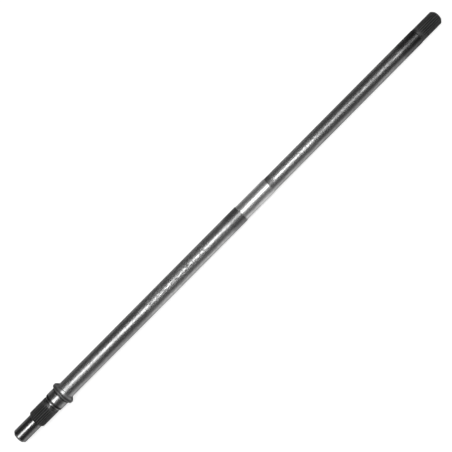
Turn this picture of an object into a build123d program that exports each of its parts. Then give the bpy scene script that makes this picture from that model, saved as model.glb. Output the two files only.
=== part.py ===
from build123d import *
from math import acos, cos, degrees, pi, radians, sin, sqrt, tan
import os

# A splined drive shaft, turned from one bar. Its axis lies along X, and the origin is the centre
# of the collar's bearing face. The pilot spigot points to -X and the long shaft to +X. Millimetres.

# Pilot spigot, at the -X end
spigot_dia = 23.0
spigot_length = 35.2
spigot_chamfer = 2.8

# Involute splines: 30 degree pressure angle, flat root, side fit
module = 1.0
pressure_angle = 30.0
front_teeth = 27
rear_teeth = 22
front_full_depth = 21.4      # tooth ends to the start of the hob's run-out
rear_full_depth = 30.2
rear_chamfer = 3.4
hob_dia = 50.0
front_band = 2.9             # plain land between the run-out and the neck
rear_band = 3.0

# Neck between the front spline and the bearing seat
neck_dia = 27.0
neck_width = 3.4

# Bearing seat in front of the collar
seat_dia = 30.0
seat_length = 13.8           # from the lead-in cone to the collar
seat_lead = 3.2              # length of the lead-in cone
seat_lead_dia = 29.4         # at the cone's small end
relief_width = 1.4
relief_depth = 0.3
relief_round = 0.6           # corner radius at the collar's face

# Collar
collar_dia = 36.8
collar_rim = 4.1             # from the bearing face to the start of the sloping flank
face_round = 1.5             # edge of the bearing face
rim_round = 1.2              # edge between the rim and the flank
flank_angle = 47.0           # from the shaft's axis
flank_round = 0.5

# Long shaft, ground journal and rear shaft
shaft_dia = 26.5
journal_start = 368.2        # from the collar's bearing face
journal_dia = 25.0
journal_length = 57.0
journal_edge = 0.4
rear_shaft_dia = 23.7
rear_shaft_length = 302.6
rear_step = 1.2              # length of the cone down to the rear spline

# Centre holes in both ends, form A
centre_pilot_dia = 3.15
centre_mouth_dia = 6.7
centre_depth = 7.0

# Radii and axial places that follow from the sizes above
front_major = module * (front_teeth + 1) / 2
front_root = module * (front_teeth - 1.5) / 2
rear_major = module * (rear_teeth + 1) / 2
rear_root = module * (rear_teeth - 1.5) / 2
tooth_depth = front_major - front_root
hob_radius = hob_dia / 2
run_out = sqrt(hob_radius**2 - (hob_radius - tooth_depth)**2)
shaft_radius = shaft_dia / 2
journal_radius = journal_dia / 2
rear_shaft_radius = rear_shaft_dia / 2
collar_radius = collar_dia / 2
seat_radius = seat_dia / 2
spigot_radius = spigot_dia / 2
neck_radius = neck_dia / 2
seat_lead_radius = seat_lead_dia / 2
relief_radius = seat_radius - relief_depth
face_height = collar_radius - relief_radius
face_edge = min(face_round, 0.9 * (face_height - relief_round))   # the face is the round's wall

neck_right = -seat_length - seat_lead
neck_left = neck_right - neck_width
band_right = neck_left - (front_major - neck_radius)
front_full_end = band_right - front_band - run_out
front_tooth_ends = front_full_end - front_full_depth
front_end = front_tooth_ends - spigot_length
flank_foot = collar_rim + (collar_radius - shaft_radius) / tan(radians(flank_angle))
journal_end = journal_start + journal_length
rear_shaft_end = journal_end + rear_shaft_length
rear_land = rear_shaft_end + rear_step
rear_full_start = rear_land + rear_band + run_out
rear_end = rear_full_start + rear_full_depth


def centre_hole(face, inward):
    """Outline of a 60 degree centre hole, from the axis out to its mouth in the end face."""
    pilot = centre_pilot_dia / 2
    mouth = centre_mouth_dia / 2
    cone_end = face + inward * (mouth - pilot) / tan(radians(30))
    drill_tip = face + inward * (centre_depth + pilot * tan(radians(30)))
    return [(drill_tip, 0), (face + inward * centre_depth, pilot), (cone_end, pilot), (face, mouth)]


def blank():
    """The turned blank: half its section, with every step, revolved about X."""
    tooth_chamfer = front_major - spigot_radius
    outline = centre_hole(front_end, 1) + [
        (front_end, spigot_radius - spigot_chamfer),
        (front_end + spigot_chamfer, spigot_radius),
        (front_tooth_ends, spigot_radius),
        (front_tooth_ends + tooth_chamfer, front_major),
        (band_right, front_major),
        (neck_left, neck_radius),
        (neck_right, neck_radius),
        (neck_right, seat_lead_radius),
        (-seat_length, seat_radius),
        (-relief_width - relief_depth, seat_radius),
        (-relief_width, relief_radius),
        (0, relief_radius),
        (0, collar_radius),
        (collar_rim, collar_radius),
        (flank_foot, shaft_radius),
        (journal_start, shaft_radius),
        (journal_start, journal_radius),
        (journal_end - journal_edge, journal_radius),
        (journal_end, rear_shaft_radius),
        (rear_shaft_end, rear_shaft_radius),
        (rear_land, rear_major),
        (rear_end - rear_chamfer, rear_major),
        (rear_end, rear_major - rear_chamfer),
    ] + centre_hole(rear_end, -1)[::-1]
    section = make_face(Polyline(*outline, close=True))
    rounds = [
        (0, relief_radius, relief_round),
        (0, collar_radius, face_edge),
        (collar_rim, collar_radius, rim_round),
        (flank_foot, shaft_radius, flank_round),
    ]
    for x, radius, size in rounds:
        corner = section.vertices().sort_by_distance((x, radius, 0))[0]
        section = fillet(corner, size)
    return revolve(section, Axis.X)


def tooth_space(teeth, root, major):
    """Section of one tooth space, upright in the YZ plane: two involute flanks on a flat root."""
    base = module * teeth / 2 * cos(radians(pressure_angle))

    def involute(radius):
        angle = acos(base / radius)
        return tan(angle) - angle

    def flank_point(radius, side):
        half = pi / (2 * teeth) + involute(radius) - tan(radians(pressure_angle)) + radians(pressure_angle)
        return (side * radius * sin(half), radius * cos(half))

    top = major + tooth_depth / 2
    radii = [root + (top - root) * step / 4 for step in range(5)]
    right = Spline(*[flank_point(radius, 1) for radius in radii])
    left = Spline(*[flank_point(radius, -1) for radius in radii])
    lines = [left, right, Line(left @ 0, right @ 0), Line(left @ 1, right @ 1)]
    return Plane.YZ * make_face(lines)


def cut_spline(shaft, teeth, root, major, open_end, full_end):
    """Hob the teeth: straight spaces from the open end, then an arc of the hob's radius out."""
    direction = 1 if full_end > open_end else -1
    section = Pos(full_end, 0, 0) * tooth_space(teeth, root, major)
    clearance = tooth_depth
    straight = extrude(section, abs(full_end - open_end) + clearance, dir=(-direction, 0, 0))
    hob_axis = Axis((full_end, 0, root + hob_radius), (0, -direction, 0))
    sweep_angle = degrees(acos((hob_radius - tooth_depth * 1.3) / hob_radius))
    cutter = straight + revolve(section, hob_axis, sweep_angle)
    return shaft - [Rot(X=360 / teeth * index) * cutter for index in range(teeth)]


shaft = blank()
shaft = cut_spline(shaft, front_teeth, front_root, front_major, front_tooth_ends, front_full_end)
shaft = cut_spline(shaft, rear_teeth, rear_root, rear_major, rear_end, rear_full_start)

os.makedirs("parts", exist_ok=True)
export_step(shaft, "parts/stepped_shaft.step")
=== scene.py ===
# %% [markdown]
# # A splined drive shaft
#
# The real object is one long steel shaft, turned from a bar, with a spline at each end and two ground
# seats. This lesson works its surface out with numpy, gives each machined stretch its own finish, and
# lights it as a studio would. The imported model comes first: it fixes where everything is.

# %% Load the frame
import math

import bpy
import numpy as np
from mathutils import Matrix, Vector


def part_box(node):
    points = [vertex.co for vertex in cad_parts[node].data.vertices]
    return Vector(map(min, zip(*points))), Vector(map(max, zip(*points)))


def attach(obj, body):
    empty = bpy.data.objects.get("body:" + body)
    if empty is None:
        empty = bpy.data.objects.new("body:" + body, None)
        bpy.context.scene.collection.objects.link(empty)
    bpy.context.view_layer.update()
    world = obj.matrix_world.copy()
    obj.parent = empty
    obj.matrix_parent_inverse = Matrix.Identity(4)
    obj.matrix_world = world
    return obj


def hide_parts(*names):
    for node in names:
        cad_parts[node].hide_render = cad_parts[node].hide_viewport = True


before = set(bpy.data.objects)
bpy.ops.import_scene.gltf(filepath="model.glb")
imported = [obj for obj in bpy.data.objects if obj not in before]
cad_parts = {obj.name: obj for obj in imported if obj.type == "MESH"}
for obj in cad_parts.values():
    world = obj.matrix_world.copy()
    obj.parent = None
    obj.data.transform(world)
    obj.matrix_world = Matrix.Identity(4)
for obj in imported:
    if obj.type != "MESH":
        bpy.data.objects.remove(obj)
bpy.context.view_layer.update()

MM = 0.001
NODE = "stepped_shaft"
node_low, node_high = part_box(NODE)
print("the packed shaft is", round((node_high.x - node_low.x) / MM, 1), "mm long")

# %% [markdown]
# ## Sizes
#
# The frame says where both ends are and how wide the collar is. The steps between them are written
# here once, in millimetres, as a turner reads them off a drawing. The origin is the centre of the
# collar's bearing face. The spigot points to -X and the long shaft to +X.

# %% Diameters and lengths of the steps
front_end = node_low.x / MM
rear_end = node_high.x / MM
collar_radius = node_high.y / MM
spigot_radius, spigot_length, spigot_chamfer = 11.5, 35.2, 2.8
neck_radius, neck_width, neck_round = 13.5, 3.4, 0.5
seat_radius, seat_length = 15.0, 13.8
seat_lead_radius = 14.7       # at the small end of the seat's lead-in cone
relief_width, relief_depth, relief_round = 1.4, 0.3, 0.6
collar_rim, face_round, rim_round, flank_round = 4.1, 1.5, 1.2, 0.5
flank_angle = math.radians(47)
shaft_radius = 13.25
journal_start, journal_length, journal_radius, journal_edge = 368.2, 57.0, 12.5, 0.4
rear_radius, rear_step, rear_chamfer = 11.85, 1.2, 3.4
pilot_radius, mouth_radius, centre_depth = 1.575, 3.35, 7.0

# %% Sizes of the splines
module = 1.0
pressure_angle = math.radians(30)
front_teeth, rear_teeth = 27, 22
front_full_depth, rear_full_depth = 21.4, 30.2
hob_radius, front_land, rear_band = 25.0, 2.9, 3.0
tooth_depth = 1.25 * module
front_major = module * (front_teeth + 1) / 2
rear_major = module * (rear_teeth + 1) / 2
front_root = front_major - tooth_depth
rear_root = rear_major - tooth_depth
run_out = math.sqrt(hob_radius**2 - (hob_radius - tooth_depth) ** 2)
print("the hob needs", round(run_out, 2), "mm to lift out of a space")

# %% Places along the axis
front_tooth_ends = front_end + spigot_length
front_full_end = front_tooth_ends + front_full_depth
front_run_out_end = front_full_end + run_out
band_right = front_run_out_end + front_land
neck_left = band_right + front_major - neck_radius
neck_right = neck_left + neck_width
flank_foot = collar_rim + (collar_radius - shaft_radius) / math.tan(flank_angle)
journal_end = journal_start + journal_length
rear_full_start = rear_end - rear_full_depth
rear_run_out_start = rear_full_start - run_out
rear_land = rear_run_out_start - rear_band
rear_shaft_end = rear_land - rear_step
print("the rear land starts at", round(rear_land, 1), "mm")

# %% [markdown]
# ## The outline
#
# A turned part is one outline spun round its axis. Each corner of the outline carries the radius that
# the tool left there, because no real edge is perfectly sharp, and even a small edge break catches
# the light as a thin line. So every corner becomes a short arc, tangent to both of its sides.

# %% Corners become arcs
SMALL_ROUND = 0.5                 # below this radius, in millimetres, an arc needs few steps
COARSE_STEP, FINE_STEP = 30, 12   # in degrees


def corner_arc(before, corner, after, radius):
    """The arc of this radius that is tangent to both sides of a corner. Its centre lies on the
    corner's bisector, radius / sin(half) away, and it turns by pi less the corner's own angle, in
    coarse steps, or fine ones where the round is large enough to be seen as one."""
    before, corner, after = (np.array(p, float) for p in (before, corner, after))
    to_before = (before - corner) / np.linalg.norm(before - corner)
    to_after = (after - corner) / np.linalg.norm(after - corner)
    half = math.acos(np.clip(to_before @ to_after, -1, 1)) / 2
    bisector = (to_before + to_after) / np.linalg.norm(to_before + to_after)
    centre = corner + bisector * radius / math.sin(half)
    start = corner + to_before * radius / math.tan(half) - centre
    end = corner + to_after * radius / math.tan(half) - centre
    turn = math.pi - 2 * half
    step = COARSE_STEP if radius < SMALL_ROUND else FINE_STEP
    steps = math.ceil(math.degrees(turn) / step - 0.01)
    share = np.linspace(0, 1, steps + 1)[:, None]
    return centre + (np.sin((1 - share) * turn) * start + np.sin(share * turn) * end) / math.sin(turn)


# %% Corners become stations
def rounded(corners):
    """Stations (x, radius, finish) of an outline given as (x, radius, rounding, finish) corners.
    A finish holds for the stretch that follows its corner, the corner's own arc included."""
    stations = []
    for index, (x, r, rounding, finish) in enumerate(corners):
        points = [(x, r)]
        if rounding:
            before, after = corners[index - 1][:2], corners[index + 1][:2]
            points = corner_arc(before, (x, r), after, rounding)
        stations += [(px, pr, finish) for px, pr in points]
    return stations


# %% Straight stretches stay straight
def held_straight(stations, margin=0.3):
    """Add a station this far inside both ends of each straight stretch. Smooth shading blends the
    directions of neighbouring faces at a station, and this keeps the blend inside the margin."""
    held = [stations[0]]
    for (x, r, finish), (next_x, next_r, next_finish) in zip(stations, stations[1:]):
        length = math.hypot(next_x - x, next_r - r)
        if length > 6 * margin and finish != "teeth":
            for share in (margin / length, 1 - margin / length):
                held.append((x + (next_x - x) * share, r + (next_r - r) * share, finish))
        held.append((next_x, next_r, next_finish))
    return held


# %% [markdown]
# The ends have centre holes, where the lathe and the grinder held the shaft. The edges that a turner
# breaks with a file are larger than those that a grinding wheel leaves, so the breaks have names. Each
# corner also says which finish starts there, because a finish ends where its tool stopped.

# %% Centre holes and edge breaks
BREAK, LIGHT_BREAK, FINE_BREAK, TRACE_BREAK = 0.3, 0.2, 0.15, 0.1   # radii, in millimetres


def centre_hole(face, inward):
    """A 60 degree centre hole, from the axis out to its mouth in the end face."""
    slope = math.tan(math.radians(30))
    drill_tip = face + inward * (centre_depth + pilot_radius * slope)
    cone_end = face + inward * (mouth_radius - pilot_radius) / slope
    return [(drill_tip, 0, 0, "turned"), (face + inward * centre_depth, pilot_radius, 0, "turned"),
            (cone_end, pilot_radius, 0, "turned"), (face, mouth_radius, FINE_BREAK, "turned")]


# %% The whole outline, from the front centre hole to the rear one
UNGROUND = 0.7        # the grinding wheel stops this far before the relief, in millimetres
BRIGHT_RIM = 2.0      # the turned face's bright metal reaches this far over the rim
TURNED_BACK = 1.3     # and the black of the rim reaches this far down the flank
CHAMFER_TOP = 0.8     # where a tooth's chamfer gets its own ring, below the land
front_chamfer_end = front_tooth_ends + front_major - spigot_radius
rear_chamfer_start = rear_end - rear_chamfer
flank_start = (collar_rim + TURNED_BACK * math.cos(flank_angle),
               collar_radius - TURNED_BACK * math.sin(flank_angle))
run_out_shares = np.linspace(0.15, 0.9, 6)
corners = centre_hole(front_end, 1) + [
    (front_end, spigot_radius - spigot_chamfer, BREAK, "turned"),
    (front_end + spigot_chamfer, spigot_radius, BREAK, "spigot"),
    (front_tooth_ends, spigot_radius, BREAK, "teeth"),
    (front_tooth_ends + front_root - spigot_radius, front_root, 0, "teeth"),
    (front_chamfer_end - CHAMFER_TOP, front_major - CHAMFER_TOP, 0, "teeth"),
    (front_chamfer_end, front_major, LIGHT_BREAK, "teeth"),
    (front_full_end, front_major, 0, "teeth"),
] + [
    (front_full_end + run_out * share, front_major, 0, "teeth") for share in run_out_shares
] + [
    (front_run_out_end, front_major, 0, "land"),
    (band_right, front_major, FINE_BREAK, "land"),
    (neck_left, neck_radius, BREAK, "neck"),
    (neck_right, neck_radius, neck_round, "neck"),
    (neck_right, seat_lead_radius, FINE_BREAK, "seat"),
    (-seat_length, seat_radius, BREAK, "seat"),
    (-relief_width - relief_depth - UNGROUND, seat_radius, 0, "relief"),
    (-relief_width - relief_depth, seat_radius, TRACE_BREAK, "relief"),
    (-relief_width, seat_radius - relief_depth, TRACE_BREAK, "relief"),
    (0, seat_radius - relief_depth, relief_round, "relief"),
    (0, collar_radius, face_round, "face"),
    (BRIGHT_RIM, collar_radius, 0, "collar"),
    (collar_rim, collar_radius, rim_round, "collar"),
    (*flank_start, 0, "flank"),
    (flank_foot, shaft_radius, flank_round, "bar"),
    (journal_start, shaft_radius, FINE_BREAK, "bar"),
    (journal_start, journal_radius, LIGHT_BREAK, "journal"),
    (journal_end - journal_edge, journal_radius, TRACE_BREAK, "journal"),
    (journal_end, rear_radius, LIGHT_BREAK, "rear"),
    (rear_shaft_end, rear_radius, BREAK, "rear"),
    (rear_land, rear_major, BREAK, "land"),
    (rear_run_out_start, rear_major, 0, "teeth"),
] + [
    (rear_full_start - run_out * share, rear_major, 0, "teeth") for share in run_out_shares[::-1]
] + [
    (rear_full_start, rear_major, 0, "teeth"),
    (rear_chamfer_start, rear_major, LIGHT_BREAK, "teeth"),
    (rear_chamfer_start + CHAMFER_TOP, rear_major - CHAMFER_TOP, 0, "teeth"),
    (rear_chamfer_start + tooth_depth, rear_root, 0, "teeth"),
    (rear_end, rear_major - rear_chamfer, BREAK, "turned"),
] + centre_hole(rear_end, -1)[::-1]
stations = held_straight(rounded(corners))
station_x = np.array([s[0] for s in stations])
station_r = np.array([s[1] for s in stations])
print(len(stations), "stations along the shaft")

# %% [markdown]
# ## The teeth
#
# The flanks are involutes: the curve that the end of a taut string draws as it unwinds from the base
# circle. A hob cuts the spaces between the teeth. At the closed end of a space the hob lifts out on
# its own radius, so the space gets shallower along an arc and ends in the plain land. A ring of teeth
# is one formula of the angle round the shaft, the blank's radius there and how far the hob has risen.

# %% The surface of the toothed stretches
COLUMNS = front_teeth * rear_teeth     # divides into whole teeth on both splines
ROOT_COLUMNS = 2                       # columns from the middle of a space to its corner
TIP_SHARE = 0.36                       # and the share of the pitch where the flank meets the land


def space_half_angle(radius, teeth):
    """Half of a tooth space, as an angle at the axis: a quarter of the pitch, less the involute of
    the pressure angle, plus the involute of the flank's own angle at this radius."""
    base = module * teeth / 2 * math.cos(pressure_angle)
    flank_angle = np.arccos(base / radius)
    quarter_pitch = math.pi / (2 * teeth)
    return quarter_pitch - math.tan(pressure_angle) + pressure_angle + np.tan(flank_angle) - flank_angle


# %% One ring of teeth
def toothed(teeth, root, outer, lift):
    """Angle and radius of every column of rings whose blank has radius outer and whose hob has risen
    by lift. From the middle of a space outwards, columns lie on the flat root, then up the flank to
    where it leaves the blank, then on the tooth's land. The space's section moves out with the hob."""
    per_tooth = COLUMNS // teeth
    column = np.arange(COLUMNS) % per_tooth
    from_middle = np.minimum(column, per_tooth - column)
    tip = round(TIP_SHARE * per_tooth)
    up_flank = np.clip((from_middle - ROOT_COLUMNS) / (tip - ROOT_COLUMNS), 0, 1)
    on_land = np.clip((from_middle - tip) / (per_tooth / 2 - tip), 0, 1)
    cut_radius = root + (outer - lift - root) * up_flank
    half = space_half_angle(cut_radius, teeth)
    width = cut_radius * np.sin(half) * np.clip(from_middle / ROOT_COLUMNS, 0, 1)
    height = cut_radius * np.cos(half) + lift
    angle = np.arctan2(width, height)
    angle = angle + (math.pi / teeth - angle) * on_land
    radius = np.where(on_land > 0, outer, np.minimum(np.hypot(width, height), outer))
    side = np.where(column * 2 <= per_tooth, 1, -1)
    space = np.arange(COLUMNS) // per_tooth + (side < 0)
    return space * 2 * math.pi / teeth + side * angle, radius


# %% How the hob lifts out
SHALLOW = 0.06     # a space shallower than this, in millimetres, is left out
NEAR = 0.01        # stations this close to a place count as there
BELOW_ROOT = 2.2   # the chamfers reach this far below the roots


def hob_lift(x, full_end, direction):
    """How far the hob has risen, x being beyond the full depth: the sagitta of its own circle."""
    beyond = np.clip((x - full_end) * direction, 0, hob_radius)
    return hob_radius - np.sqrt(hob_radius**2 - beyond**2)


# %% Angle and radius over the whole grid
grid_angle = np.tile(np.arange(COLUMNS) * 2 * math.pi / COLUMNS, (len(stations), 1))
grid_radius = np.repeat(station_r[:, None], COLUMNS, 1)
splines = [(front_teeth, front_root, front_tooth_ends, front_run_out_end, front_full_end, 1),
           (rear_teeth, rear_root, rear_run_out_start, rear_end, rear_full_start, -1)]
for teeth, root, start, end, full_end, direction in splines:
    in_spline = (station_x > start - NEAR) & (station_x < end + NEAR) & (station_r > root - BELOW_ROOT)
    x, outer = station_x[in_spline, None], station_r[in_spline, None]
    lift = hob_lift(x, full_end, direction)
    is_cut = outer - root - lift > SHALLOW
    combed = toothed(teeth, root, root + tooth_depth, 0)[0]
    angle, radius = toothed(teeth, root, np.where(is_cut, outer, root + tooth_depth), lift * is_cut)
    grid_angle[in_spline] = np.where(is_cut, angle, combed)
    grid_radius[in_spline] = np.where(is_cut, radius, outer)
    print(teeth, "teeth,", int(in_spline.sum()), "rings,", int(is_cut.sum()), "of them cut")

# %% [markdown]
# ## From grid to mesh
#
# Each square of the grid becomes a face, wound so that it points outwards. The first and last station
# lie on the axis, at the bottom of the centre holes, so there the rings close to a single point.

# %% Build the mesh
def grid_mesh(name, x, angle, radius):
    """A closed mesh: a ring of vertices at each inner station, at (x, r sin a, r cos a), squares
    between neighbouring rings and a fan of triangles to the pole at each end."""
    rings = len(x) - 2
    ring = np.stack(np.broadcast_arrays(x[1:-1, None], radius[1:-1] * np.sin(angle[1:-1]),
                                        radius[1:-1] * np.cos(angle[1:-1])), -1)
    poles = np.array([[x[0], 0, 0], [x[-1], 0, 0]])
    vertices = np.concatenate([ring.reshape(-1, 3), poles]) * MM
    here = np.arange(rings * COLUMNS).reshape(rings, COLUMNS)
    beside = np.roll(here, -1, axis=1)
    squares = np.stack([here[:-1], here[1:], beside[1:], beside[:-1]], -1).reshape(-1, 4)
    front_pole, rear_pole = rings * COLUMNS, rings * COLUMNS + 1
    front_fan = np.stack([np.full(COLUMNS, front_pole), here[0], beside[0]], -1)
    rear_fan = np.stack([here[-1], np.full(COLUMNS, rear_pole), beside[-1]], -1)
    corners_of = np.concatenate([front_fan.ravel(), squares.ravel(), rear_fan.ravel()])
    sizes = np.concatenate([np.full(COLUMNS, 3), np.full(len(squares), 4), np.full(COLUMNS, 3)])
    mesh = bpy.data.meshes.new(name)
    mesh.vertices.add(len(vertices))
    mesh.vertices.foreach_set("co", vertices.ravel())
    mesh.loops.add(len(corners_of))
    mesh.loops.foreach_set("vertex_index", corners_of.astype(np.int32))
    mesh.polygons.add(len(sizes))
    mesh.polygons.foreach_set("loop_start", (np.cumsum(sizes) - sizes).astype(np.int32))
    mesh.update(calc_edges=True)
    return mesh


# %% Make the piece and put it in the CAD node's place
SHARP_ANGLE = math.radians(28)

mesh = grid_mesh("turned_shaft", station_x, grid_angle, grid_radius)
mesh.validate()
mesh.polygons.foreach_set("use_smooth", np.ones(len(mesh.polygons), bool))
mesh.set_sharp_from_angle(angle=SHARP_ANGLE)
shaft = bpy.data.objects.new("turned_shaft", mesh)
bpy.context.scene.collection.objects.link(shaft)
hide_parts(NODE)
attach(shaft, "root")
mesh.calc_loop_triangles()
print("the shaft has", len(mesh.loop_triangles), "triangles")

# %% [markdown]
# ## Finishes
#
# All of it is the same steel, and each stretch was left by another tool: ground seats, a drawn bar,
# turned faces, and splines that were hardened black. A finish could be a flat colour, but steel shows
# its making in how light runs along it. So the shared effects are node groups, built once here:
# a stretch of the shaft as a mask, a drawn-out pattern, and the fine rings of a turning tool. They
# all read Object coordinates, where X runs along the axis, so they stay put on the metal.

# %% Helpers for nodes
def new_material(name):
    """An empty node material with a Principled BSDF and an output; returns it, its tree and shader."""
    material = bpy.data.materials.new(name)
    material.use_nodes = True
    tree = material.node_tree
    tree.nodes.clear()
    shader = tree.nodes.new("ShaderNodeBsdfPrincipled")
    output = tree.nodes.new("ShaderNodeOutputMaterial")
    tree.links.new(shader.outputs["BSDF"], output.inputs["Surface"])
    return material, tree, shader


def plug(tree, socket, value):
    """Link a socket to an input, or write a plain value into it."""
    if isinstance(value, bpy.types.NodeSocket):
        tree.links.new(value, socket)
    else:
        socket.default_value = value


def math_node(tree, operation, *values):
    """A Math node with these inputs, each a number or a socket; returns its output."""
    node = tree.nodes.new("ShaderNodeMath")
    node.operation = operation
    for socket, value in zip(node.inputs, values):
        plug(tree, socket, value)
    return node.outputs[0]


def mapped(tree, value, from_low, from_high, to_low, to_high):
    """A Map Range node that eases smoothly from one range to the other; returns its output."""
    node = tree.nodes.new("ShaderNodeMapRange")
    node.interpolation_type = "SMOOTHSTEP"
    for name, number in (("Value", value), ("From Min", from_low), ("From Max", from_high),
                         ("To Min", to_low), ("To Max", to_high)):
        plug(tree, node.inputs[name], number)
    return node.outputs[0]


def new_group(name, inputs, output):
    """A node group with float inputs given as name: default, and one float output."""
    tree = bpy.data.node_groups.new(name, "ShaderNodeTree")
    for label, value in inputs.items():
        tree.interface.new_socket(label, in_out="INPUT", socket_type="NodeSocketFloat").default_value = value
    tree.interface.new_socket(output, in_out="OUTPUT", socket_type="NodeSocketFloat")
    return tree, tree.nodes.new("NodeGroupInput").outputs, tree.nodes.new("NodeGroupOutput").inputs[0]


def use_group(tree, group, **values):
    """Place a group in a material; its inputs are named in lower case with underscores."""
    node = tree.nodes.new("ShaderNodeGroup")
    node.node_tree = group
    for label, value in values.items():
        plug(tree, node.inputs[label.replace("_", " ").capitalize()], value)
    return node.outputs[0]


def object_place(tree):
    """Object coordinates, as a vector and as X, Y and Z, in metres."""
    vector = tree.nodes.new("ShaderNodeTexCoord").outputs["Object"]
    split = tree.nodes.new("ShaderNodeSeparateXYZ")
    tree.links.new(vector, split.inputs[0])
    return vector, split.outputs


# %% Group: a stretch of the shaft
# The mask is 1 between Start and End, in millimetres from the bearing face, and eases to 0 over Fade.
stretch_group, given, result = new_group("stretch", {"Start": 0.0, "End": 10.0, "Fade": 1.0}, "Mask")
along_shaft = math_node(stretch_group, "DIVIDE", object_place(stretch_group)[1]["X"], MM)
before = math_node(stretch_group, "SUBTRACT", given["Start"], given["Fade"])
after = math_node(stretch_group, "ADD", given["End"], given["Fade"])
rise = mapped(stretch_group, along_shaft, before, given["Start"], 0.0, 1.0)
fall = mapped(stretch_group, along_shaft, given["End"], after, 1.0, 0.0)
stretch_group.links.new(math_node(stretch_group, "MULTIPLY", rise, fall), result)

# %% Group: a pattern drawn out along the shaft
# Noise whose spots are Length long and Width wide, in millimetres. Seed moves it to another place.
drawn_group, given, result = new_group("drawn_pattern", {"Length": 10.0, "Width": 2.0, "Seed": 0.0,
                                                         "Detail": 2.0}, "Value")
place = object_place(drawn_group)[1]
join = drawn_group.nodes.new("ShaderNodeCombineXYZ")
for axis, size in (("X", "Length"), ("Y", "Width"), ("Z", "Width")):
    share = math_node(drawn_group, "DIVIDE", math_node(drawn_group, "DIVIDE", place[axis], MM), given[size])
    drawn_group.links.new(math_node(drawn_group, "ADD", share, given["Seed"]), join.inputs[axis])
noise = drawn_group.nodes.new("ShaderNodeTexNoise")
noise.inputs["Scale"].default_value = 1.0
drawn_group.links.new(join.outputs[0], noise.inputs["Vector"])
drawn_group.links.new(given["Detail"], noise.inputs["Detail"])
drawn_group.links.new(noise.outputs[0], result)

# %% Group: turning marks
# Rings round the axis: noise of X alone, with spots of one Pitch, in millimetres. A tool's feed is
# even, but its chatter isn't, so noise looks more like a turned face than a wave does.
rings_group, given, result = new_group("turning_rings", {"Pitch": 0.4}, "Height")
along_shaft = math_node(rings_group, "DIVIDE", object_place(rings_group)[1]["X"], MM)
turn = math_node(rings_group, "DIVIDE", along_shaft, given["Pitch"])
noise = rings_group.nodes.new("ShaderNodeTexNoise")
noise.noise_dimensions = "1D"
noise.inputs["Scale"].default_value = 1.0
noise.inputs["Detail"].default_value = 3.0
rings_group.links.new(turn, noise.inputs["W"])
rings_group.links.new(noise.outputs[0], result)
print(len(bpy.data.node_groups), "node groups")

# %% [markdown]
# ## Steel
#
# One function makes every finish. Grey is how much light the bare metal returns. A wide drawn-out
# pattern makes it blotchy, a finer one waves the surface so that the highlight wanders as it does on
# ground steel, and rings mark the turned stretches. Metal mirrors less than its colour says where it
# is seen edge on, when it carries an oxide skin: Specular Tint is that share.

# %% One function for every steel finish
EDGE_ON = 0.15             # share of the mirroring that is left where the skin is seen edge on
NOISE_LOW, NOISE_HIGH = 0.3, 0.7     # the noise hardly leaves this range
ROUGH_SPREAD = 0.1         # the blotches change the roughness by this share, the other way round
finish_order = []


def varied(tree, noise, share):
    """A factor between 1 - share and 1 + share that follows the noise."""
    return mapped(tree, noise, NOISE_LOW, NOISE_HIGH, 1 - share, 1 + share)


def steel(name, grey, roughness, blotch=(24, 4, 0.15), grain=(2.6, 1.2, 0.2), waves=(12, 3, 0.05),
          rings=(0.5, 0.002), metal=1.0, drawn=0.0, edge_on=EDGE_ON):
    """A steel finish. blotch, grain and waves are a length, a width and a strength: shares of the
    grey, and a depth in millimetres. rings are a pitch and a depth. drawn is how much wider light
    spreads round the shaft than along it. Returns the finish: its tree, its shader, and the sockets
    that carry the grey, the roughness and the waves' height."""
    material, tree, shader = new_material(name + "_steel")
    mesh.materials.append(material)
    finish_order.append(name)
    shader.inputs["Metallic"].default_value = metal
    shader.inputs["Specular Tint"].default_value = (edge_on, edge_on, edge_on, 1)
    if drawn:
        round_shaft = tree.nodes.new("ShaderNodeTangent")
        round_shaft.direction_type, round_shaft.axis = "RADIAL", "X"
        plug(tree, shader.inputs["Tangent"], round_shaft.outputs[0])
        shader.inputs["Anisotropic"].default_value = drawn
    seed = len(mesh.materials) * 3.7     # any step that isn't whole keeps the finishes apart
    cloud = use_group(tree, drawn_group, length=blotch[0], width=blotch[1], seed=seed, detail=3.0)
    tone = math_node(tree, "MULTIPLY", varied(tree, cloud, blotch[2]), grey)
    speck = use_group(tree, drawn_group, length=grain[0], width=grain[1], seed=seed + 5, detail=2.0)
    tone = math_node(tree, "MULTIPLY", tone, varied(tree, speck, grain[2]))
    rough = mapped(tree, cloud, NOISE_LOW, NOISE_HIGH,
                   roughness * (1 + ROUGH_SPREAD), roughness * (1 - ROUGH_SPREAD))
    swell = use_group(tree, drawn_group, length=waves[0], width=waves[1], seed=seed + 11, detail=1.0)
    wave = math_node(tree, "MULTIPLY", waves[2], swell)
    ring = math_node(tree, "MULTIPLY", rings[1], use_group(tree, rings_group, pitch=rings[0]))
    bump = tree.nodes.new("ShaderNodeBump")
    bump.inputs["Distance"].default_value = MM
    plug(tree, bump.inputs["Height"], math_node(tree, "ADD", wave, ring))
    plug(tree, shader.inputs["Normal"], bump.outputs[0])
    plug(tree, shader.inputs["Base Color"], tone)
    plug(tree, shader.inputs["Roughness"], rough)
    return {"tree": tree, "shader": shader, "tone": tone, "rough": rough, "height": wave, "bump": bump}


# %% [markdown]
# ## Changes along a stretch
#
# Heat, oil and wear change a finish along the shaft, and no edge marks where. The same functions also
# paint light and shade along it, where the light falls stronger or weaker. Each could be one more
# material, but then its border would be a hard ring. So these functions change the sockets of a
# finish that exists already, inside a mask that eases in and out.

# %% Darker, lighter or rougher stretches
SIDE_START, SIDE_END = -0.009, -0.004     # a change on one side eases out between these Y, in metres


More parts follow.
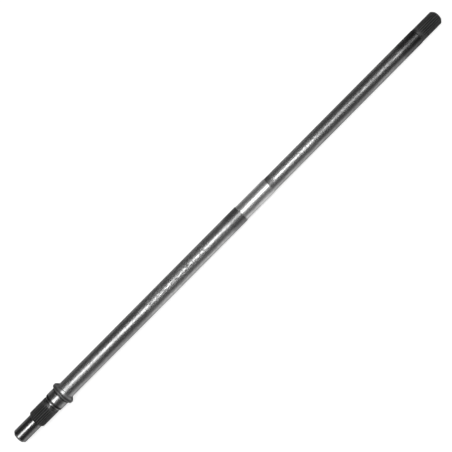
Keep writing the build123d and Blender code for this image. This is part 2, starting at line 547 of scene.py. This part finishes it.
def stretch_mask(tree, start, end, fade, one_side):
    """The stretch group's mask. On one side only, it eases out over the top of the shaft, towards -Y."""
    mask = use_group(tree, stretch_group, start=start, end=end, fade=fade)
    if not one_side:
        return mask
    y = object_place(tree)[1]["Y"]
    return math_node(tree, "MULTIPLY", mask, mapped(tree, y, SIDE_START, SIDE_END, 0.0, 1.0))


def change(finish, mask, share, rougher):
    """Inside a mask, multiply a finish's grey by a share and add to its roughness."""
    tree, shader = finish["tree"], finish["shader"]
    finish["tone"] = math_node(tree, "MULTIPLY", finish["tone"], mapped(tree, mask, 0.0, 1.0, 1.0, share))
    finish["rough"] = math_node(tree, "ADD", finish["rough"], math_node(tree, "MULTIPLY", mask, rougher))
    plug(tree, shader.inputs["Base Color"], finish["tone"])
    plug(tree, shader.inputs["Roughness"], finish["rough"])


def shade(finish, start, end, fade, share, rougher=0.0, one_side=False):
    """Change the grey and the roughness over a stretch of the shaft, in millimetres."""
    change(finish, stretch_mask(finish["tree"], start, end, fade, one_side), share, rougher)


# %% Patches and ripples
SPOT_LOW, SPOT_HIGH = 0.5, 0.6     # noise below the first is bare metal, above the second a patch


def patches(finish, start, end, fade, length, width, share, rougher):
    """Scatter patches of this length and width, in millimetres, over a stretch of the shaft: where
    the skin is left, the grey is multiplied by a share and the surface is rougher."""
    tree = finish["tree"]
    mask = stretch_mask(tree, start, end, fade, one_side=True)
    noise = use_group(tree, drawn_group, length=length, width=width, seed=end, detail=2.0)
    spots = mapped(tree, noise, SPOT_LOW, SPOT_HIGH, 0.0, 1.0)
    change(finish, math_node(tree, "MULTIPLY", mask, spots), share, rougher)


def ripple(finish, start, end, fade, length, width, depth):
    """Add waves of this length, width and depth, in millimetres, over a stretch of the shaft."""
    tree = finish["tree"]
    mask = use_group(tree, stretch_group, start=start, end=end, fade=fade)
    wave = use_group(tree, drawn_group, length=length, width=width, seed=start, detail=1.0)
    extra = math_node(tree, "MULTIPLY", math_node(tree, "MULTIPLY", wave, depth), mask)
    finish["height"] = math_node(tree, "ADD", finish["height"], extra)
    plug(tree, finish["bump"].inputs["Height"], finish["height"])


# %% [markdown]
# ## Spigot and teeth
#
# The spigot is turned smooth to fit its bush. The teeth were hardened after hobbing, and that left
# them black. Black oxide hardly mirrors, so it is a plain dark surface and no metal. The mating hub
# rubs the black off the lands, so they are lighter than the roots.

# %% Turned faces, the spigot, the teeth and the lands beside them
DRAWN = 0.9                  # light spreads this much more round a ground or drawn stretch
WORN_DEPTH, BLACK_DEPTH = 0.1, 0.6 * tooth_depth   # below a land: worn down to here, black from here


def worn_tips(finish, low, high):
    """Multiply a finish's grey by low in the roots of the teeth and by high on their lands, where
    the mating hub has rubbed the black away. The two splines are measured from their own lands."""
    tree = finish["tree"]
    place = object_place(tree)[1]
    square = [math_node(tree, "MULTIPLY", place[axis], place[axis]) for axis in "YZ"]
    radius = math_node(tree, "DIVIDE", math_node(tree, "SQRT", math_node(tree, "ADD", *square)), MM)
    at_rear = math_node(tree, "GREATER_THAN", place["X"], 0.0)
    less_at_rear = math_node(tree, "MULTIPLY", at_rear, rear_major - front_major)
    land = math_node(tree, "ADD", front_major, less_at_rear)
    depth = math_node(tree, "SUBTRACT", land, radius)
    worn = mapped(tree, depth, WORN_DEPTH, BLACK_DEPTH, high, low)
    finish["tone"] = math_node(tree, "MULTIPLY", finish["tone"], worn)
    plug(tree, finish["shader"].inputs["Base Color"], finish["tone"])


steel("turned", 0.25, 0.35)
steel("spigot", 0.29, 0.17, waves=(14, 3, 0.025), drawn=DRAWN)
teeth_finish = steel("teeth", 0.045, 0.45, metal=0.0)
worn_tips(teeth_finish, low=0.5, high=1.8)
steel("land", 0.13, 0.5, grain=(2.2, 1.6, 0.5))
print("front end:", finish_order)

# %% [markdown]
# ## Neck, bearing seat and collar
#
# The seat is ground bright, because a bearing's ring is pressed on there. The wheel doesn't reach the
# lead-in cone or the relief, so they stay dull; their dark grey is painted shade as well, the cone
# facing away from the light and the relief being a groove. The collar's rim was never machined after
# hardening: it keeps a black band between its bright face and its flank.

# %% Finishes of the neck, the seat and the collar
neck = steel("neck", 0.38, 0.30)
# painted shade: the neck is darker over its left corner, in the groove beside the land's shoulder
shade(neck, start=neck_left - 1, end=neck_left + 1.2, fade=0.8, share=0.3)
seat = steel("seat", 0.37, 0.21, drawn=DRAWN)
# painted shade: the lead-in cone is made dark, as it faces away from the light; it is also rougher, being
# unground
shade(seat, start=neck_right - 1, end=-seat_length, fade=0.3, share=0.18, rougher=0.1)
# painted shade: the relief groove's dark grey stands in for the shade in the groove; it is also unground
steel("relief", 0.10, 0.5)
steel("face", 0.26, 0.45)
steel("collar", 0.055, 0.45, metal=0.0, edge_on=1.0)
flank = steel("flank", 0.20, 0.30)
# painted shade: the flank is darker towards its foot, where it meets the bar
shade(flank, start=7.1, end=12, fade=0.6, share=0.75)
print("with the collar:", len(finish_order), "finishes")

# %% [markdown]
# ## The drawn bar
#
# The long stretch is the bar as it was drawn, with long faint waves from the die. Halfway along it
# the drawing skin has flaked, so the highlight breaks into chips there. It darkens towards the
# journal, where the grinding heat reached it.

# %% The bar from the collar to the journal
bar = steel("bar", 0.38, 0.225, waves=(10, 2.5, 0.10), drawn=DRAWN)
shade(bar, start=flank_foot, end=50, fade=60, share=1.03, rougher=0.035)
shade(bar, start=352, end=journal_start, fade=18, share=0.6, rougher=0.03)
# painted reflection: these two lines make the bar's -Y side lighter, as a brighter pool of light beside it
# would show in the steel; the top and the +Y side stay nearly as they were
shade(bar, start=190, end=345, fade=40, share=1.3)
shade(bar, start=190, end=345, fade=40, share=0.8, one_side=True)
ripple(bar, start=front_end, end=rear_end, fade=1, length=3, width=1.5, depth=0.03)
ripple(bar, start=175, end=290, fade=20, length=5, width=1.6, depth=0.12)
patches(bar, start=180, end=290, fade=20, length=6, width=1.8, share=0.75, rougher=0.16)
patches(bar, start=190, end=260, fade=15, length=12, width=2.5, share=0.7, rougher=0.12)
print("the bar is finish", len(finish_order))

# %% [markdown]
# ## Journal and rear shaft
#
# The journal is ground like the seat, and it is the brightest stretch. Behind it the rear shaft
# carries a heat tint on one side. Towards the hardened rear spline it is painted darker step by step,
# as painted shade where the overhead softbox's light ends.

# %% The journal and the rear shaft
steel("journal", 0.69, 0.25, drawn=DRAWN)
rear = steel("rear", 0.38, 0.225, waves=(10, 2.5, 0.10), drawn=DRAWN)
shade(rear, start=journal_end, end=journal_end + 3, fade=12, share=0.42, rougher=0.12, one_side=True)
# painted highlight: this stretch is made lighter, as the near softbox's highlight is brighter there
shade(rear, start=440, end=500, fade=40, share=1.25)
# painted shade: the last stretch darkens in two steps, where the overhead softbox's light ends
shade(rear, start=702, end=rear_end, fade=16, share=0.5)
shade(rear, start=724, end=rear_end, fade=16, share=0.7)
ripple(rear, start=front_end, end=rear_end, fade=1, length=3, width=1.5, depth=0.03)
ripple(rear, start=430, end=540, fade=30, length=4, width=1.6, depth=0.12)
patches(rear, start=430, end=745, fade=15, length=12, width=2.2, share=0.85, rougher=0.06)
patches(rear, start=450, end=740, fade=30, length=3.5, width=1.5, share=0.85, rougher=0.03)
print(len(mesh.materials), "finishes")

# %% Each ring of faces takes the finish of the station before it
strip_finish = np.array([finish_order.index(s[2]) for s in stations[:-1]])
mesh.polygons.foreach_set("material_index", np.repeat(strip_finish, COLUMNS).astype(np.int32))

# %% [markdown]
# ## The floor
#
# The shaft lies on a pale floor, on its collar and on the end of its rear shaft. So the floor is a
# very gently sloping plane through those two, and the shaft itself stays in the CAD's frame.

# %% Floor
FLOOR_HALF = 3.0          # half the floor's width, in metres
FLOOR_CLEARANCE = 0.05    # in millimetres, so that nothing touches
rest_slope = (collar_radius - rear_radius) / (rear_shaft_end - collar_rim / 2)
floor_mesh = bpy.data.meshes.new("floor")


def floor_height(x):
    """Height of the floor under x: the line that touches the collar and the rear shaft's end."""
    return (-collar_radius + rest_slope * (x / MM - collar_rim / 2) - FLOOR_CLEARANCE) * MM


floor_points = [(x * FLOOR_HALF, y * FLOOR_HALF, floor_height(x * FLOOR_HALF)) for x, y in
                ((-1, -1), (1, -1), (1, 1), (-1, 1))]
floor_mesh.from_pydata(floor_points, [], [(0, 1, 2, 3)])
floor = bpy.data.objects.new("floor", floor_mesh)
bpy.context.scene.collection.objects.link(floor)
print("the floor rises", round(rest_slope * 1000, 1), "mm in a metre")

# %% [markdown]
# Polished metal shows what is round it, so the floor's brightness matters twice: as the white behind
# the shaft, and as the pale band low on each side of it. Brighter lamps would give both, but they
# would burn out the steel. So the floor sends its own white to the camera. To glossy rays it sends a
# painted pool of light round the shaft, which fades away from it. Close to the shaft a painted shadow
# dims the pool, and the pool is painted dimmer towards the rear.

# %% The floor's white
FLOOR_GREY = 0.45
WHITE_FOR_CAMERA = 0.79
POOL_WHITE, POOL_HALF = 1.12, 0.05     # in metal, the white fades to half this far from the shaft
REAR_START, REAR_END = 0.35, 0.75      # and between these X
POOL_REAR = 0.68                       # it falls to this share
# the shaft's shadow on the pool is a painted shadow: a mask of the distance from the axis
CONTACT_START, CONTACT_END = 0.005, 0.03   # the shaft's shadow eases out between these distances

floor_material, tree, shader = new_material("pale_floor")
shader.inputs["Base Color"].default_value = (FLOOR_GREY, FLOOR_GREY, FLOOR_GREY, 1)
shader.inputs["Roughness"].default_value = 0.9
shader.inputs["Specular IOR Level"].default_value = 0.0
shader.inputs["Emission Color"].default_value = (1, 1, 1, 1)
rays = tree.nodes.new("ShaderNodeLightPath").outputs
floor_place = object_place(tree)[1]
off_axis = math_node(tree, "ABSOLUTE", floor_place["Y"])
spread = math_node(tree, "POWER", math_node(tree, "DIVIDE", off_axis, POOL_HALF), 2.0)
painted_pool = math_node(tree, "DIVIDE", POOL_WHITE, math_node(tree, "ADD", 1.0, spread))
painted_shadow = mapped(tree, off_axis, CONTACT_START, CONTACT_END, 0.0, 1.0)
towards_rear = mapped(tree, floor_place["X"], REAR_START, REAR_END, 1.0, POOL_REAR)
painted_pool = math_node(tree, "MULTIPLY", math_node(tree, "MULTIPLY", painted_pool, painted_shadow), towards_rear)
for_camera = math_node(tree, "MULTIPLY", rays["Is Camera Ray"], WHITE_FOR_CAMERA)
for_metal = math_node(tree, "MULTIPLY", rays["Is Glossy Ray"], painted_pool)
plug(tree, shader.inputs["Emission Strength"], math_node(tree, "ADD", for_camera, for_metal))
floor_mesh.materials.append(floor_material)

# %% [markdown]
# ## The camera
#
# The camera stands well back and looks down, a little from the -Y side, and it is rolled so that the
# shaft runs from corner to corner. A long lens from far off keeps both ends nearly the same width.

# %% Camera
scene = bpy.context.scene
SENSOR_WIDTH, LENS = 36.0, 75.663717     # in millimetres
CAMERA_DISTANCE = 1.373
TILT = math.radians(16)          # the camera leans this far from straight above, towards -Y
ROLL = math.radians(45.22)       # the shaft's +X points this far above the picture's right
aim_x = 339.7 * MM
aim_across = 2.88 * MM
back = Vector((0, -math.sin(TILT), math.cos(TILT)))
across = Vector((0, math.cos(TILT), math.sin(TILT)))   # up in the picture, before the roll
along = Vector((1, 0, 0))
right = along * math.cos(ROLL) - across * math.sin(ROLL)
up = along * math.sin(ROLL) + across * math.cos(ROLL)
camera_data = bpy.data.cameras.new("camera")
camera_data.sensor_width = SENSOR_WIDTH
camera_data.lens = LENS
camera_data.clip_start, camera_data.clip_end = 0.05, 50
camera = bpy.data.objects.new("camera", camera_data)
scene.collection.objects.link(camera)
place = along * aim_x + across * aim_across + back * CAMERA_DISTANCE
camera.matrix_world = Matrix.Translation(place) @ Matrix((right, up, back)).transposed().to_4x4()
scene.camera = camera

# %% [markdown]
# ## Light
#
# A long softbox overhead makes the highlight. It is in two parts, the far one weaker, because the
# highlight fades towards the rear end. A smaller lamp beyond the rear end lights the collar's flank.

# %% Lights
def softbox(name, place, aim, length, width, radiance):
    """A rectangular area lamp at place, turned to face aim, with this radiance: its power is
    radiance times pi times its area. Its length lies along X as far as it can."""
    data = bpy.data.lights.new(name, "AREA")
    data.shape = "RECTANGLE"
    data.size, data.size_y = length, width
    data.energy = radiance * math.pi * length * width
    lamp = bpy.data.objects.new(name, data)
    scene.collection.objects.link(lamp)
    lamp.visible_camera = False
    facing = (Vector(place) - Vector(aim)).normalized()
    side = Vector((1, 0, 0))
    side = (side - facing * side.dot(facing)).normalized()
    lamp.matrix_world = Matrix.Translation(place) @ Matrix(
        (side, facing.cross(side), facing)).transposed().to_4x4()
    return lamp


KEY_HEIGHT, KEY_LEAN, KEY_WIDTH = 2.0, math.radians(5.2), 0.8
KEY_RADIANCE, FAR_SHARE = 4.3, 0.5
key_start, key_join, key_end = -1.1, 0.76, 1.37
key_y = -KEY_HEIGHT * math.tan(KEY_LEAN)
for name, start, end, radiance in (("key", key_start, key_join, KEY_RADIANCE),
                                   ("far_key", key_join, key_end, KEY_RADIANCE * FAR_SHARE)):
    middle = (start + end) / 2
    softbox(name, (middle, key_y, KEY_HEIGHT), (middle, 0, 0), end - start, KEY_WIDTH, radiance)
softbox("end_light", place=(3.2, 0.05, 0.6), aim=(0, 0, 0), length=0.5, width=1.2, radiance=14.0)
print(len(bpy.data.lights), "lamps in the file")

# %% [markdown]
# ## The room
#
# What is neither lamp nor floor is the room, and the shaft's dark bands show it. It is dim overhead
# and lighter near the horizon. A faint strip runs across it overhead, and beyond both ends of the
# shaft it is open to daylight, so that the steel isn't black when it is looked at along its length.

# %% World
ROOM_DARK, ROOM_LEVEL, HORIZON_TOP = 0.02, 0.22, 0.35     # grey overhead, at the horizon, and up to here
ROOM_STRIP, STRIP_MIDDLE, STRIP_HALF = 0.13, 0.03, 0.2    # the strip's grey, its middle and half width
ROOM_ENDS, ENDS_START, ENDS_FULL = 0.45, 0.42, 0.75       # the daylight, and where it starts and is full
world = bpy.data.worlds.new("studio")
world.use_nodes = True
scene.world = world
tree = world.node_tree
background = tree.nodes["Background"]
split = tree.nodes.new("ShaderNodeSeparateXYZ")
tree.links.new(tree.nodes.new("ShaderNodeTexCoord").outputs["Generated"], split.inputs[0])
walls = mapped(tree, split.outputs["Z"], 0.0, HORIZON_TOP, ROOM_LEVEL, ROOM_DARK)
off_middle = math_node(tree, "SUBTRACT", split.outputs["X"], STRIP_MIDDLE)
off_middle = math_node(tree, "DIVIDE", off_middle, STRIP_HALF)
spread = math_node(tree, "ADD", 1.0, math_node(tree, "MULTIPLY", off_middle, off_middle))
strip = math_node(tree, "DIVIDE", ROOM_STRIP, spread)
seen = tree.nodes.new("ShaderNodeLightPath").outputs["Is Camera Ray"]
room = math_node(tree, "MAXIMUM", walls, strip)
towards_end = math_node(tree, "ABSOLUTE", split.outputs["X"])
daylight = mapped(tree, towards_end, ENDS_START, ENDS_FULL, 0.0, ROOM_ENDS)
room = math_node(tree, "MAXIMUM", room, daylight)
plug(tree, background.inputs["Color"], math_node(tree, "MAXIMUM", room, seen))
background.inputs["Strength"].default_value = 1.0

scene.view_settings.view_transform = "Standard"
